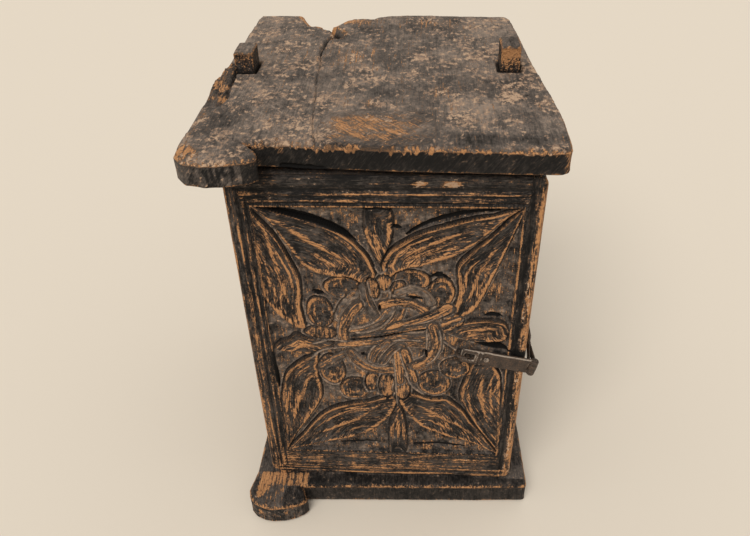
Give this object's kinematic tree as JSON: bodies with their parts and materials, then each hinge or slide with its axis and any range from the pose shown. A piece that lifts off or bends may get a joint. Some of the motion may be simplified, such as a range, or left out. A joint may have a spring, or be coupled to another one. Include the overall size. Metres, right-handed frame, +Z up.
{
  "type": "pivot-door chest",
  "caption": "Small hand-hewn wooden chest with a carved front door that turns on its own wooden pintles in the top and base boards, and an iron hasp.",
  "frame": {"origin": "on the underside of the base board, below the middle of the door's width and midway between the door's face and the back edges of the side boards", "axes": "+X to the right as seen from the front, +Y from the carved front to the back, +Z up"},
  "size_m": [0.3288, 0.3682, 0.49],
  "materials": {
    "carcass_wood": "hand-hewn, dark waxed patina, worn to orange-brown wood on edges",
    "door_wood": "carved, dark patina, worn to orange-brown wood on the raised edges",
    "iron": "forged, brown rust patina"
  },
  "bodies": {
    "chest": {"base_board": "carcass_wood", "top_board": "carcass_wood", "side_board_left": "carcass_wood", "side_board_right": "carcass_wood", "back_board": "carcass_wood", "side_staple": "iron"},
    "door": {"door": "door_wood", "door_staple": "iron"},
    "hasp_strap": {"hasp_strap": "iron", "hasp_rivet": "iron", "hasp_pin": "iron"},
    "hasp_arm": {"hasp_arm": "iron"}
  },
  "joints": [
    {"name": "door_swing", "type": "hinge", "parent": "chest", "child": "door", "pos_m": [-0.125, -0.141, 0.236], "axis": [0, 0, 1], "range_deg": [-110, 0]},
    {"name": "hasp_lift", "type": "hinge", "parent": "door", "child": "hasp_strap", "pos_m": [0.07497, -0.1561, 0.235], "axis": [0.2079, 0, 0.9781], "range_deg": [-100, 0]},
    {"name": "hasp_arm_swing", "type": "hinge", "parent": "hasp_strap", "child": "hasp_arm", "pos_m": [0.1454, -0.1561, 0.22003], "axis": [0.2079, 0, 0.9781], "range_deg": [-120, 9]}
  ]
}
